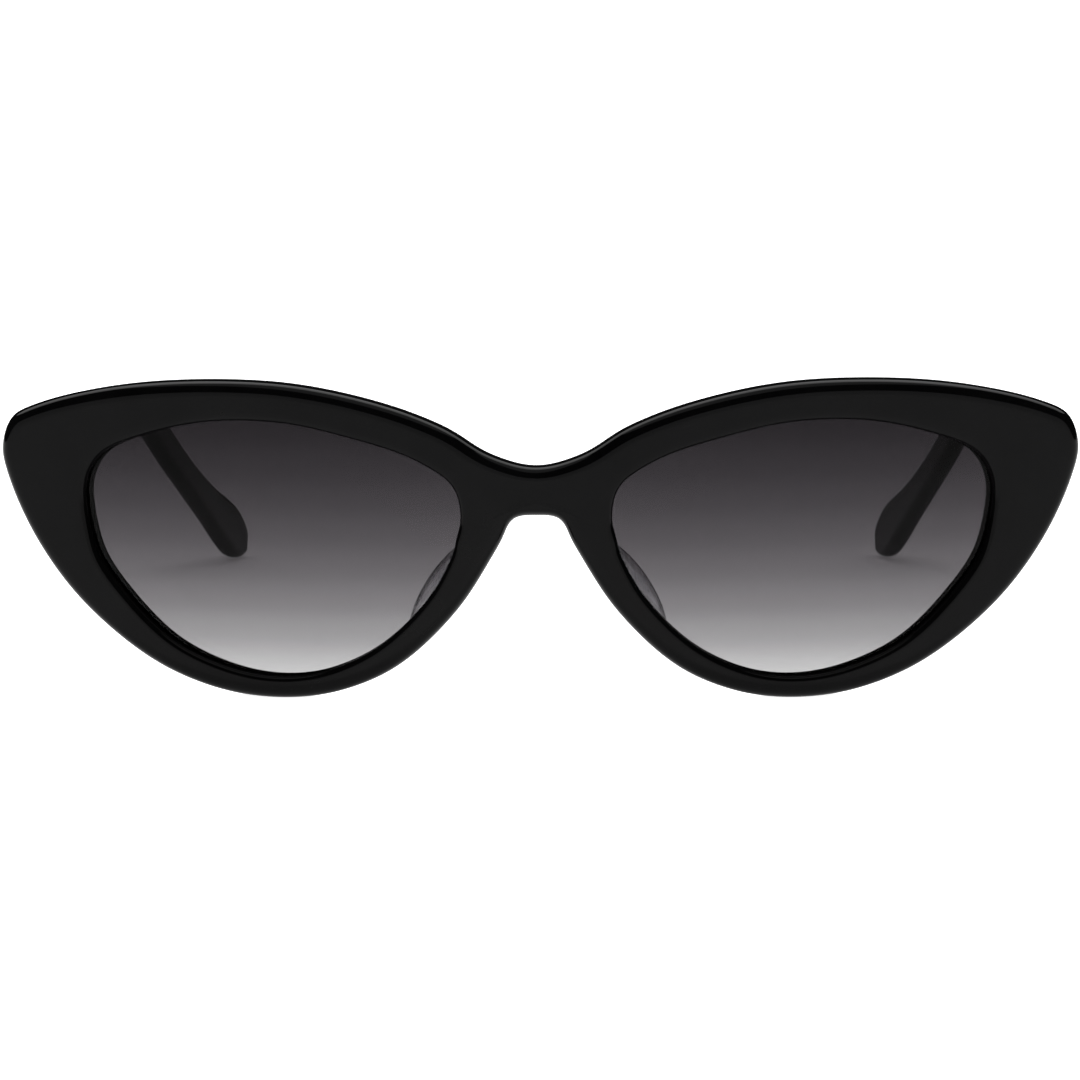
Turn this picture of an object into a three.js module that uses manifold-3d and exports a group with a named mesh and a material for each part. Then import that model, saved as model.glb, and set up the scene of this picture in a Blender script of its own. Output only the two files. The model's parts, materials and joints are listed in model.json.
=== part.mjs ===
// Cat-eye sunglasses in black acetate: a bent front with two lenses, and two temples that fold
// on five-barrel hinges. Millimetres, +Z up. The lenses face -Y, and the wearer's left is +X.
// The origin is on the table, under the middle of the open sunglasses.
import * as THREE from "three";
import { mergeVertices } from "three/addons/utils/BufferGeometryUtils.js";
import Module from "manifold-3d";

const wasm = await Module();
wasm.setup();

// The front is cut from a flat sheet and then bent round a vertical axis behind it. A place in
// the sheet is u (sideways), v (up) and w (back from the front face).
const SHEET = 4;
const BEND_RADIUS = 220;
const OUTER_ROUND = 1;
const OPENING_ROUND = 0.8;
const OPENING_BACK_ROUND = 0.45;

// Half of the front. Each row is a point on the outer edge and the point on the lens opening
// that faces it: outer u, outer v, opening u, opening v. The rows run clockwise from the middle
// of the top edge, and the last two lie inside the bridge.
const HALF_FRONT = [
  [0, 9.5, 11.5, 7.5],
  [6, 11, 13.5, 9],
  [12, 14.5, 17.5, 11],
  [20, 17.5, 24, 13],
  [32, 20, 33.5, 15],
  [44.5, 20.5, 44, 15],
  [57, 19.5, 53, 13],
  [68, 17, 58, 11],
  [72, 15, 60, 9],
  [73.5, 11, 61, 6.5],
  [72.5, 6.5, 61, 3.5],
  [68.5, -1.5, 59.5, -2.5],
  [62, -9.5, 56, -7.5],
  [52, -17, 49, -14],
  [43, -20.5, 41, -17.5],
  [34.5, -21.5, 34, -18.5],
  [26.5, -20.5, 27.5, -17.5],
  [18.5, -17, 20.5, -14],
  [10.5, -9.5, 14, -7.5],
  [5, -1, 11, -2],
  [3, 2.5, 10.5, 0],
  [0, 3, 10, 2],
  [0, 5, 10, 4],
  [0, 7, 10.5, 6],
];
const BRIDGE_ROWS = 2;
const STEPS_PER_ROW = 2;
const FACE_STRIPS = 3;

// Lenses, held by a groove round each opening.
const GROOVE_DEPTH = 0.8;
const GROOVE_FRONT = 1.2;
const GROOVE_BACK = 3.3;
const LENS_GAP = 0.15;
const LENS_EDGE_GAP = 0.25;
const LENS_BULGE = 0.9;
const LENS_CENTRE = [36, -1];
const LENS_RINGS = [0.35, 0.7, 1];

// Hinge frame: its origin is on the pivot, its Y runs back along the temple and its Z is the
// pivot's axis. X is outwards on the left side, and mirrored on the right.
const PIVOT = [63.2, 19, 9.3];
const TEMPLE_SLOPE = THREE.MathUtils.degToRad(0.6);
const MITRE_GAP = 0.3;
const BARREL_RADIUS = 1.4;
const PIN_HOLE_RADIUS = 0.75;
const KNUCKLES = 5;
const KNUCKLE_PITCH = 1.6;
const KNUCKLE_GAP = 0.12;
const LEAF_HALF_HEIGHT = 4;
const LEAF_THICKNESS = 0.9;
const LEAF_CLEARANCE = 0.2;
const ROUND_SEGMENTS = 20;

// Screw, with its head up.
const SCREW_RADIUS = 0.6;
const SCREW_END_PROUD = 0.25;
const SCREW_END_CHAMFER = 0.15;
const SCREW_SEAT_GAP = 0.05;
const SCREW_HEAD_RADIUS = 1;
const SCREW_HEAD_HEIGHT = 0.6;
const SCREW_HEAD_CHAMFER = [0.2, 0.15];
const SCREW_SLOT_WIDTH = 0.35;
const SCREW_SLOT_DEPTH = 0.3;
const COUNTERBORE_DEPTH = 0.45;

// End blocks, bonded to the back of the wings. The post meets the temple, and the hinge's front
// leaf is sunk into the lower step beside it.
const BOND_GAP = 0.1;
const BLOCK_HALF_HEIGHT = 5;
const BLOCK_REACH = 12;
const BACK_SEGMENTS = 256;
const POST_INNER = 1.75;
const STEP_INNER = -1.9;
const STEP_Y = -2.85;
const FRONT_LEAF = { inner: -1.25, outer: 1.1, back: -2.7 };
const FRONT_WEB_HALF_WIDTH = 1;

// Temples. Each row is: distance back from the pivot along the temple, and half its height there.
// It thins from the hinge to the bend, and sweeps inwards on an arc.
const TEMPLE_THICKNESS = 4;
const EAR_THICKNESS = 2.9;
const TEMPLE_INNER_FACE = 1.8;
const TEMPLE_EDGE_ROUND = 0.9;
const TEMPLE_ROWS = [
  [0, 5],
  [12, 5],
  [45, 3.5],
  [75, 3],
  [85, 3],
  [95, 3],
  [105, 3],
  [115, 3.5],
  [123, 4.5],
  [128, 4],
  [130.5, 2],
];
const TEMPLE_SWEEP_START = 40;
const TEMPLE_SWEEP_RADIUS = 310;
const TEMPLE_BEND_START = 70;
const TEMPLE_BEND_RADIUS = 32;
const TEMPLE_BEND = THREE.MathUtils.degToRad(32.1);
const TEMPLE_LEAF = { start: 0.5, end: 8.5 };
const TEMPLE_LEAF_PROUD = 0.15;
const TEMPLE_WEB_END = 3.6;
const TEMPLE_WEB_CLEARANCE = 0.2;

// Core wire inside each temple, in a bore that is open at the hinge end.
const BORE_HALF = [0.75, 1.4];
const BORE_CORNER = 0.3;
const WIRE_HALF = [0.5, 1.1];
const WIRE_CORNER = 0.25;
const BORE_OUTWARDS = 0.3;
const BORE_END_ROW = 8;
const WIRE_START_ROW = 0.1;

// Nose pads, bonded to the back of the rims beside the nose. They lean with the rim, and their
// flat inner face flares outwards towards the back. Each row of the section is the distance
// outwards from that face, and the share of the pad's height.
const PAD_CENTRE = [12.4, -6.7];
const PAD_LEAN = THREE.MathUtils.degToRad(36);
const PAD_HALF_LENGTH = 9;
const PAD_HEIGHT = 4.4;
const PAD_INNER = -1.4;
const PAD_FLARE = THREE.MathUtils.degToRad(26);
const PAD_SECTION = [
  [0, 0],
  [3.2, 0],
  [2.5, 0.55],
  [1.6, 0.9],
  [0.65, 1],
  [0, 0.92],
];
const PAD_SECTIONS = 12;
const PAD_END_FULLNESS = 0.17;

const ACETATE = { color: 0x0b0b0c, roughness: 0.12, metalness: 0 };
const TINT = { color: 0x55505a, roughness: 0.05, metalness: 0, transparent: true, opacity: 0.75 };
const CLEAR_PAD = { color: 0x9a9a9e, roughness: 0.15, metalness: 0, transparent: true, opacity: 0.5 };
const HINGE_METAL = { color: 0x8d8f93, roughness: 0.3, metalness: 1 };
const SCREW_METAL = { color: 0xa2a4a8, roughness: 0.25, metalness: 1 };
const WIRE_METAL = { color: 0xb5b0a4, roughness: 0.35, metalness: 1 };

// ---- geometry helpers ----

function bend([u, v, w]) {
  const angle = u / BEND_RADIUS;
  const radius = BEND_RADIUS - w;
  return [radius * Math.sin(angle), BEND_RADIUS - radius * Math.cos(angle), v];
}

const mirrored = ([x, y, z]) => [-x, y, z];
const mix = (a, b, t) => a.map((value, i) => value + (b[i] - value) * t);

// Collects faces, each wound so that it faces out, into one closed geometry.
class Skin {
  corners = [];

  triangle(a, b, c) {
    this.corners.push(...a, ...b, ...c);
  }

  quad(a, b, c, d) {
    this.triangle(a, b, c);
    this.triangle(a, c, d);
  }

  // Joins two rings that have the same number of points.
  band(ring, next) {
    ring.forEach((point, i) => {
      const j = (i + 1) % ring.length;
      this.quad(point, ring[j], next[j], next[i]);
    });
  }

  // Closes a convex ring.
  cap(ring) {
    for (let i = 1; i < ring.length - 1; i += 1) {
      this.triangle(ring[0], ring[i], ring[i + 1]);
    }
  }

  geometry() {
    const geometry = new THREE.BufferGeometry();
    geometry.setAttribute("position", new THREE.Float32BufferAttribute(this.corners, 3));
    return mergeVertices(geometry);
  }
}

function loft(rings) {
  const skin = new Skin();
  rings.slice(1).forEach((ring, i) => skin.band(rings[i], ring));
  skin.cap(rings[0].toReversed());
  skin.cap(rings.at(-1));
  return skin.geometry();
}

function mirror(geometry) {
  const copy = geometry.clone().scale(-1, 1, 1);
  const index = copy.index.array;
  for (let i = 0; i < index.length; i += 3) {
    [index[i], index[i + 1]] = [index[i + 1], index[i]];
  }
  return copy;
}

function solid(geometry) {
  const bare = geometry.clone();
  bare.deleteAttribute("normal");
  bare.deleteAttribute("uv");
  const merged = mergeVertices(bare);
  return new wasm.Manifold(
    new wasm.Mesh({
      numProp: 3,
      vertProperties: new Float32Array(merged.attributes.position.array),
      triVerts: new Uint32Array(merged.index.array),
    }),
  );
}

function geometryOf(manifold) {
  const mesh = manifold.getMesh();
  const geometry = new THREE.BufferGeometry();
  geometry.setAttribute("position", new THREE.BufferAttribute(mesh.vertProperties, 3));
  geometry.setIndex(new THREE.BufferAttribute(mesh.triVerts, 1));
  return geometry;
}

function box([x0, x1], [y0, y1], [z0, z1]) {
  const geometry = new THREE.BoxGeometry(x1 - x0, y1 - y0, z1 - z0);
  return geometry.translate((x0 + x1) / 2, (y0 + y1) / 2, (z0 + z1) / 2);
}

function rod(radius, z0, z1) {
  const geometry = new THREE.CylinderGeometry(radius, radius, z1 - z0, ROUND_SEGMENTS);
  return geometry.rotateX(Math.PI / 2).translate(0, 0, (z0 + z1) / 2);
}

// A flat outline standing on z0, which rises by height.
function prism(points, z0, height) {
  const shape = new THREE.Shape(points.map(([x, y]) => new THREE.Vector2(x, y)));
  return new THREE.ExtrudeGeometry(shape, { depth: height, bevelEnabled: false }).translate(0, 0, z0);
}

// A rectangle with rounded corners about the origin, counter-clockwise.
function roundedRectangle(halfWidth, halfHeight, radius) {
  const points = [];
  [[1, 1, 0], [-1, 1, 1], [-1, -1, 2], [1, -1, 3]].forEach(([sx, sy, turn]) => {
    for (let step = 0; step <= 2; step += 1) {
      const angle = (turn + step / 2) * (Math.PI / 2);
      points.push([
        sx * (halfWidth - radius) + radius * Math.cos(angle),
        sy * (halfHeight - radius) + radius * Math.sin(angle),
      ]);
    }
  });
  return points;
}

// ---- front ----

// Samples a closed curve through the points at STEPS_PER_ROW places per point. Each sample has
// its position and the normal that points out of the loop.
function samples(points, count) {
  const curve = new THREE.CatmullRomCurve3(
    points.map(([u, v]) => new THREE.Vector3(u, v, 0)),
    true,
    "centripetal",
  );
  return Array.from({ length: count * STEPS_PER_ROW }, (_, i) => {
    const t = i / (points.length * STEPS_PER_ROW);
    const at = curve.getPoint(t);
    const along = curve.getTangent(t);
    return { at: [at.x, at.y], normal: [-along.y, along.x] };
  });
}

const openingSamples = samples(HALF_FRONT.map((row) => row.slice(2)), HALF_FRONT.length);

function outerSamples() {
  const edge = HALF_FRONT.slice(0, -BRIDGE_ROWS).map((row) => row.slice(0, 2));
  const otherHalf = edge.slice(1, -1).toReversed().map(([u, v]) => [-u, v]);
  const onEdge = samples([...edge, ...otherHalf], edge.length - 1);
  const last = edge.at(-1);
  const inBridge = HALF_FRONT.slice(-BRIDGE_ROWS).map((row) => row.slice(0, 2));
  const stops = [last, ...inBridge, edge[0]];
  const middle = [];
  for (let i = 0; i < stops.length - 1; i += 1) {
    for (let step = 0; step < STEPS_PER_ROW; step += 1) {
      middle.push({ at: mix(stops[i], stops[i + 1], step / STEPS_PER_ROW), normal: [0, 0] });
    }
  }
  middle[0].normal = [0, -1];
  onEdge[0].normal = [0, 1];
  return [...onEdge, ...middle];
}

function inset({ at, normal }, distance) {
  return [at[0] - normal[0] * distance, at[1] - normal[1] * distance];
}

// The rounding of an edge of the sheet, front to back, as steps of inset and depth.
function edgeProfile(frontRound, backRound) {
  const eased = 1 - Math.SQRT1_2;
  return [
    [frontRound, 0],
    [frontRound * eased, frontRound * eased],
    [0, frontRound],
    [0, SHEET - backRound],
    [backRound * eased, SHEET - backRound * eased],
    [backRound, SHEET],
  ];
}

const OUTER_EDGE = edgeProfile(OUTER_ROUND, OUTER_ROUND);
const OPENING_EDGE = edgeProfile(OPENING_ROUND, OPENING_BACK_ROUND).toSpliced(
  3,
  0,
  [0, GROOVE_FRONT],
  [GROOVE_DEPTH, GROOVE_FRONT],
  [GROOVE_DEPTH, GROOVE_BACK],
  [0, GROOVE_BACK],
).toReversed();

function faceStrip(from, to) {
  return Array.from({ length: FACE_STRIPS - 1 }, (_, i) => mix(from, to, (i + 1) / FACE_STRIPS));
}

// The closed section of the rim between one outer sample and the opening sample facing it.
function rimSection(outer, opening) {
  const outside = OUTER_EDGE.map(([depth, w]) => [...inset(outer, depth), w]);
  const inside = OPENING_EDGE.map(([depth, w]) => [...inset(opening, -depth), w]);
  const back = faceStrip(outside.at(-1), inside[0]);
  const face = faceStrip(inside.at(-1), outside[0]);
  return [...outside, ...back, ...inside, ...face].map(bend);
}

function frontGeometry() {
  const outer = outerSamples();
  const sections = outer.map((sample, i) => rimSection(sample, openingSamples[i]));
  const skin = new Skin();
  const wallSteps = OUTER_EDGE.length - 1;
  sections.forEach((section, i) => {
    const k = (i + 1) % sections.length;
    const insideBridge = outer[i].at[0] === 0 && outer[k].at[0] === 0;
    section.forEach((point, j) => {
      if (insideBridge && j < wallSteps) return;
      const m = (j + 1) % section.length;
      const corners = [point, sections[k][j], sections[k][m], section[m]];
      skin.quad(...corners);
      skin.quad(...corners.map(mirrored).toReversed());
    });
  });
  return skin.geometry();
}

function lensGeometry() {
  const lensFront = GROOVE_FRONT + LENS_GAP;
  const lensBack = GROOVE_BACK - LENS_GAP;
  const edge = openingSamples
    .map((sample) => inset(sample, LENS_EDGE_GAP - GROOVE_DEPTH))
    .toReversed();
  const ringAt = (fraction, w) => {
    const depth = w - LENS_BULGE * (1 - fraction * fraction);
    return edge.map((point) => bend([...mix(LENS_CENTRE, point, fraction), depth]));
  };
  const skin = new Skin();
  const frontRings = LENS_RINGS.map((fraction) => ringAt(fraction, lensFront));
  const backRings = LENS_RINGS.map((fraction) => ringAt(fraction, lensBack));
  const outwards = [...frontRings, ...backRings.toReversed()];
  outwards.slice(1).forEach((ring, i) => skin.band(ring, outwards[i]));
  const frontMiddle = ringAt(0, lensFront)[0];
  const backMiddle = ringAt(0, lensBack)[0];
  edge.forEach((_, i) => {
    const j = (i + 1) % edge.length;
    skin.triangle(frontMiddle, frontRings[0][i], frontRings[0][j]);
    skin.triangle(backMiddle, backRings[0][j], backRings[0][i]);
  });
  return skin.geometry();
}

// ---- nose pads ----

// In the pad's own frame, X points away from the nose, Y back and Z up along the rim. The inner
// face stays in one plane, and the ends taper to it.
function padGeometry() {
  const rings = Array.from({ length: PAD_SECTIONS + 1 }, (_, i) => {
    const along = -Math.cos((i / PAD_SECTIONS) * Math.PI);
    const fullness = Math.max(Math.sqrt(1 - along * along), PAD_END_FULLNESS);
    return PAD_SECTION.map(([across, share]) => {
      const y = PAD_HEIGHT * fullness * share;
      return [PAD_INNER + y * Math.tan(PAD_FLARE) + across * fullness, y, along * PAD_HALF_LENGTH];
    });
  });
  return loft(rings);
}

function padGroup(side) {
  const group = new THREE.Group();
  const [u, v] = PAD_CENTRE;
  group.position.set(...bend([side * u, v, SHEET + BOND_GAP]));
  group.rotation.set(0, -side * PAD_LEAN, (side * u) / BEND_RADIUS, "ZYX");
  return group;
}

// ---- hinges ----

const knuckleTop = (KNUCKLES * KNUCKLE_PITCH - KNUCKLE_GAP) / 2;
const templeFaceY = MITRE_GAP / 2;

function knuckleBottom(i) {
  return -knuckleTop + i * KNUCKLE_PITCH;
}

// A leaf with its knuckles, every second one from the first, drilled for the screw.
function hingeHalf(leaf, first, web) {
  let body = solid(leaf);
  for (let i = first; i < KNUCKLES; i += 2) {
    const z0 = knuckleBottom(i);
    const z1 = z0 + KNUCKLE_PITCH - KNUCKLE_GAP;
    body = body.add(solid(rod(BARREL_RADIUS, z0, z1))).add(solid(web(z0, z1)));
  }
  const beyond = knuckleTop + 1;
  body = body.subtract(solid(rod(PIN_HOLE_RADIUS, -beyond, beyond)));
  const counterboreRadius = SCREW_HEAD_RADIUS + LEAF_CLEARANCE / 2;
  return body.subtract(solid(rod(counterboreRadius, knuckleTop - COUNTERBORE_DEPTH, beyond)));
}

function frontHingeGeometry() {
  const { inner, outer, back } = FRONT_LEAF;
  const leaf = box([inner, outer], [back - LEAF_THICKNESS, back], [-LEAF_HALF_HEIGHT, LEAF_HALF_HEIGHT]);
  const half = FRONT_WEB_HALF_WIDTH;
  const web = (z0, z1) => box([-half, half], [back - LEAF_THICKNESS / 2, 0], [z0, z1]);
  return geometryOf(hingeHalf(leaf, 0, web));
}

const templeLeafInner = TEMPLE_INNER_FACE - TEMPLE_LEAF_PROUD;

function templeHingeGeometry() {
  const { start, end } = TEMPLE_LEAF;
  const outer = templeLeafInner + LEAF_THICKNESS;
  const leaf = box([templeLeafInner, outer], [start, end], [-LEAF_HALF_HEIGHT, LEAF_HALF_HEIGHT]);
  const web = (z0, z1) => {
    const reach = templeLeafInner + LEAF_THICKNESS / 2;
    const outline = [
      [0, TEMPLE_WEB_CLEARANCE],
      [BARREL_RADIUS, start],
      [reach, start],
      [reach, TEMPLE_WEB_END],
      [0, BARREL_RADIUS],
    ];
    return prism(outline, z0, z1 - z0);
  };
  return geometryOf(hingeHalf(leaf, 1, web));
}

function screwGeometry() {
  const bottom = -knuckleTop - SCREW_END_PROUD;
  const seat = knuckleTop - COUNTERBORE_DEPTH + SCREW_SEAT_GAP;
  const top = seat + SCREW_HEAD_HEIGHT;
  const [chamferIn, chamferDown] = SCREW_HEAD_CHAMFER;
  const profile = [
    [0, bottom],
    [SCREW_RADIUS - SCREW_END_CHAMFER, bottom],
    [SCREW_RADIUS, bottom + SCREW_END_CHAMFER],
    [SCREW_RADIUS, seat],
    [SCREW_HEAD_RADIUS, seat],
    [SCREW_HEAD_RADIUS, top - chamferDown],
    [SCREW_HEAD_RADIUS - chamferIn, top],
    [0, top],
  ];
  const turned = new THREE.LatheGeometry(
    profile.map(([radius, z]) => new THREE.Vector2(radius, z)),
    ROUND_SEGMENTS,
  ).rotateX(Math.PI / 2);
  const slotReach = SCREW_HEAD_RADIUS + 1;
  const half = SCREW_SLOT_WIDTH / 2;
  const slot = box([-slotReach, slotReach], [-half, half], [top - SCREW_SLOT_DEPTH, top + 1]);
  return geometryOf(solid(turned).subtract(solid(slot)));
}

function hingeGroup(side) {
  const group = new THREE.Group();
  group.position.set(side * PIVOT[0], PIVOT[1], PIVOT[2]);
  group.rotation.x = -TEMPLE_SLOPE;
  return group;
}

// ---- end blocks ----

const blockOuter = TEMPLE_INNER_FACE + TEMPLE_THICKNESS;

function endBlockGeometry() {
  const outline = [
    [STEP_INNER, -BLOCK_REACH],
    [blockOuter, -BLOCK_REACH],
    [blockOuter, -templeFaceY],
    [POST_INNER, -templeFaceY],
    [POST_INNER, STEP_Y],
    [STEP_INNER, STEP_Y],
  ];
  const block = prism(outline, -BLOCK_HALF_HEIGHT, 2 * BLOCK_HALF_HEIGHT);
  const { inner, outer, back } = FRONT_LEAF;
  const pocketHalf = LEAF_HALF_HEIGHT + LEAF_CLEARANCE;
  const pocket = box(
    [inner - LEAF_CLEARANCE, outer + LEAF_CLEARANCE],
    [back - LEAF_THICKNESS - LEAF_CLEARANCE, 0],
    [-pocketHalf, pocketHalf],
  );
  const place = hingeGroup(1);
  place.updateMatrix();
  const cut = solid(block).subtract(solid(pocket));
  const placed = geometryOf(cut).applyMatrix4(place.matrix);
  const behind = new THREE.CylinderGeometry(1, 1, 4 * BLOCK_HALF_HEIGHT, BACK_SEGMENTS);
  const radius = BEND_RADIUS - SHEET - BOND_GAP;
  behind.scale(radius, 1, radius).rotateX(Math.PI / 2).translate(0, BEND_RADIUS, PIVOT[2]);
  return geometryOf(solid(placed).intersect(solid(behind)));
}

// ---- temples ----

const templeCurve = new THREE.CatmullRomCurve3(
  TEMPLE_ROWS.map(([distance, halfHeight]) => new THREE.Vector3(distance, halfHeight, 0)),
  false,
  "centripetal",
);

// How far the temple's middle has swept inwards at a distance along it.
function templeSweep(distance) {
  const along = Math.max(distance - TEMPLE_SWEEP_START, 0);
  return TEMPLE_SWEEP_RADIUS - Math.sqrt(TEMPLE_SWEEP_RADIUS ** 2 - along ** 2);
}

// Turns a place along the temple, with offsets outwards and up from its middle, into the hinge
// frame. The temple runs straight, then bends down over the ear.
function alongTemple(distance, outwards, up) {
  const past = (distance - TEMPLE_BEND_START) / TEMPLE_BEND_RADIUS;
  const turned = THREE.MathUtils.clamp(past, 0, TEMPLE_BEND);
  const straight = Math.min(distance, TEMPLE_BEND_START);
  const beyond = Math.max(distance - TEMPLE_BEND_START - TEMPLE_BEND_RADIUS * TEMPLE_BEND, 0);
  const y = straight + TEMPLE_BEND_RADIUS * Math.sin(turned) + beyond * Math.cos(turned);
  const z = -TEMPLE_BEND_RADIUS * (1 - Math.cos(turned)) - beyond * Math.sin(turned);
  return [outwards, y + up * Math.sin(turned), z + up * Math.cos(turned)];
}

const templeMiddle = TEMPLE_INNER_FACE + TEMPLE_THICKNESS / 2;

// One ring of the temple, or of the bore or wire inside it, at a step along its rows.
function templeRing(step, outline, shift) {
  const { x: distance } = templeCurve.getPoint(step / (TEMPLE_ROWS.length - 1));
  const from = Math.max(distance, templeFaceY);
  const middle = templeMiddle - templeSweep(distance) + shift;
  return outline.map(([x, up]) => alongTemple(from, middle + x, up));
}

function templeSteps(first, last) {
  const steps = [];
  for (let step = first; step <= last; step += 0.5) steps.push(step);
  return steps;
}

function templeGeometry() {
  const outerRings = templeSteps(0, TEMPLE_ROWS.length - 1).map((step) => {
    const { x: distance, y: halfHeight } = templeCurve.getPoint(step / (TEMPLE_ROWS.length - 1));
    const thinned = THREE.MathUtils.smoothstep(distance, TEMPLE_ROWS[1][0], TEMPLE_BEND_START);
    const thickness = THREE.MathUtils.lerp(TEMPLE_THICKNESS, EAR_THICKNESS, thinned);
    return templeRing(step, roundedRectangle(thickness / 2, halfHeight, TEMPLE_EDGE_ROUND), 0);
  });
  const bore = roundedRectangle(...BORE_HALF, BORE_CORNER);
  const boreSteps = templeSteps(0, BORE_END_ROW);
  const boreRings = boreSteps.map((step) => templeRing(step, bore, BORE_OUTWARDS));
  const skin = new Skin();
  outerRings.slice(1).forEach((ring, i) => skin.band(ring, outerRings[i]));
  boreRings.slice(1).forEach((ring, i) => skin.band(boreRings[i], ring));
  skin.band(outerRings[0], boreRings[0]);
  skin.cap(outerRings.at(-1).toReversed());
  skin.cap(boreRings.at(-1));
  const pocketHalf = LEAF_HALF_HEIGHT + LEAF_CLEARANCE;
  const pocket = box(
    [0, templeLeafInner + LEAF_THICKNESS + LEAF_CLEARANCE],
    [0, TEMPLE_LEAF.end + LEAF_CLEARANCE],
    [-pocketHalf, pocketHalf],
  );
  return geometryOf(solid(skin.geometry()).subtract(solid(pocket)));
}

function coreWireGeometry() {
  const section = roundedRectangle(...WIRE_HALF, WIRE_CORNER);
  const steps = [WIRE_START_ROW, ...templeSteps(0.5, BORE_END_ROW - 0.5)];
  return loft(steps.map((step) => templeRing(step, section, BORE_OUTWARDS).toReversed()));
}

// ---- assembly ----

const sunglasses = new THREE.Group();

function addMesh(parent, name, geometry, look) {
  const mesh = new THREE.Mesh(geometry, new THREE.MeshStandardMaterial(look));
  mesh.name = name;
  parent.add(mesh);
}

addMesh(sunglasses, "front_frame", frontGeometry(), ACETATE);

const SIDE_PIECES = [
  ["lens", lensGeometry(), TINT, () => new THREE.Group()],
  ["nose_pad", padGeometry(), CLEAR_PAD, padGroup],
  ["end_block", endBlockGeometry(), ACETATE, () => new THREE.Group()],
  ["front_hinge", frontHingeGeometry(), HINGE_METAL, hingeGroup],
  ["temple_hinge", templeHingeGeometry(), HINGE_METAL, hingeGroup],
  ["hinge_screw", screwGeometry(), SCREW_METAL, hingeGroup],
  ["temple", templeGeometry(), ACETATE, hingeGroup],
  ["core_wire", coreWireGeometry(), WIRE_METAL, hingeGroup],
];

for (const [word, geometry, look, place] of SIDE_PIECES) {
  for (const [name, side] of [["left", 1], ["right", -1]]) {
    const group = place(side);
    addMesh(group, `${name}_${word}`, side > 0 ? geometry : mirror(geometry), look);
    sunglasses.add(group);
  }
}

sunglasses.updateMatrixWorld(true);
const bounds = new THREE.Box3().setFromObject(sunglasses, true);
sunglasses.position.y = -(bounds.min.y + bounds.max.y) / 2;
sunglasses.position.z = -bounds.min.z;

export default sunglasses;
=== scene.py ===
# Looks for the cat-eye sunglasses: polished black acetate, gradient lenses and plated hinges,
# standing open on a pale studio floor. Metres, +Z up, lenses facing -Y, wearer's left on +X.
import json
import math

import bmesh
import bpy
from mathutils import Matrix, Vector


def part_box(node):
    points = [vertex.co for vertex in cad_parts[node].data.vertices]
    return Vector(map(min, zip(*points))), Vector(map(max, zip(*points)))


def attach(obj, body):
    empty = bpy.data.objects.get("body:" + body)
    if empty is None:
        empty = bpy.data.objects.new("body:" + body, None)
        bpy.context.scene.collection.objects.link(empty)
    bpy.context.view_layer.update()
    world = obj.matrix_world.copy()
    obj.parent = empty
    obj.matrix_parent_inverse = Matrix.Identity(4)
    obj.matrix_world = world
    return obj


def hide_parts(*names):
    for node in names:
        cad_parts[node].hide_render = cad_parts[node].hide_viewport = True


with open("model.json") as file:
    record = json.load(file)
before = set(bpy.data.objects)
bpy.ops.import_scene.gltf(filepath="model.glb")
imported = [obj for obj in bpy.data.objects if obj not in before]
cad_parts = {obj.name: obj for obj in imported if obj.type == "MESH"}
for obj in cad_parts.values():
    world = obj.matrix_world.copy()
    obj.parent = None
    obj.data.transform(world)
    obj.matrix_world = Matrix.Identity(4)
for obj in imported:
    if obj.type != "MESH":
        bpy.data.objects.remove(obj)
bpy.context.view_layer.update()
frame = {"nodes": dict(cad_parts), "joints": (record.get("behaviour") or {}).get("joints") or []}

MM = 0.001
SIDES = {"left": 1, "right": -1}

# ---- the front's sheet, as the CAD model has it: u sideways, v up, w back from the face ----

BEND_RADIUS = 220 * MM
SHEET = 4 * MM
OUTER_ROUND = 1.8 * MM
OUTER_BACK_ROUND = 1 * MM
OPENING_ROUND = 0.8 * MM
OPENING_BACK_ROUND = 0.45 * MM
GROOVE_DEPTH = 0.8 * MM
GROOVE_FRONT = 1.2 * MM
GROOVE_BACK = 3.3 * MM

# Half of the front, in millimetres: a point on the outer edge and the one on the lens opening that
# faces it, as outer u, outer v, opening u, opening v. Clockwise from the middle of the top edge,
# with the last two inside the bridge.
HALF_FRONT = [
    (0, 9.5, 11.5, 7.5),
    (6, 11, 13.5, 9),
    (12, 14.5, 17.5, 11),
    (20, 17.5, 24, 13),
    (32, 20, 33.5, 15),
    (44.5, 20.5, 44, 15),
    (57, 19.5, 53, 13),
    (68, 17, 58, 11),
    (72, 15, 60, 9),
    (73.5, 11, 61, 6.5),
    (72.5, 6.5, 61, 3.5),
    (68.5, -1.5, 59.5, -2.5),
    (62, -9.5, 56, -7.5),
    (52, -17, 49, -14),
    (43, -20.5, 41, -17.5),
    (34.5, -21.5, 34, -18.5),
    (26.5, -20.5, 27.5, -17.5),
    (18.5, -17, 20.5, -14),
    (10.5, -9.5, 14, -7.5),
    (5, -1, 11, -2),
    (3, 2.5, 10.5, 0),
    (0, 3, 10, 2),
    (0, 5, 10, 4),
    (0, 7, 10.5, 6),
]
BRIDGE_ROWS = 2
STEPS_PER_ROW = 12
FACE_STRIPS = 8
ROUND_STEPS = 6
FAIRING_PASSES = 40

# ---- places taken from the frame ----

joints = {joint["name"]: joint for joint in frame["joints"]}
pivot = Vector(joints["left_temple_fold"]["pos_m"])
pivot_axis = Vector(joints["left_temple_fold"]["axis"])
temple_slope = math.atan2(pivot_axis.y, pivot_axis.z)
front_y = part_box("front_frame")[0].y
PIVOT_V = 9.3 * MM
datum_z = pivot.z - PIVOT_V


def bend(u, v, w):
    angle = u / BEND_RADIUS
    radius = BEND_RADIUS - w
    return Vector((radius * math.sin(angle), front_y + BEND_RADIUS - radius * math.cos(angle), datum_z + v))


# ---- mesh helpers ----


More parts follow.
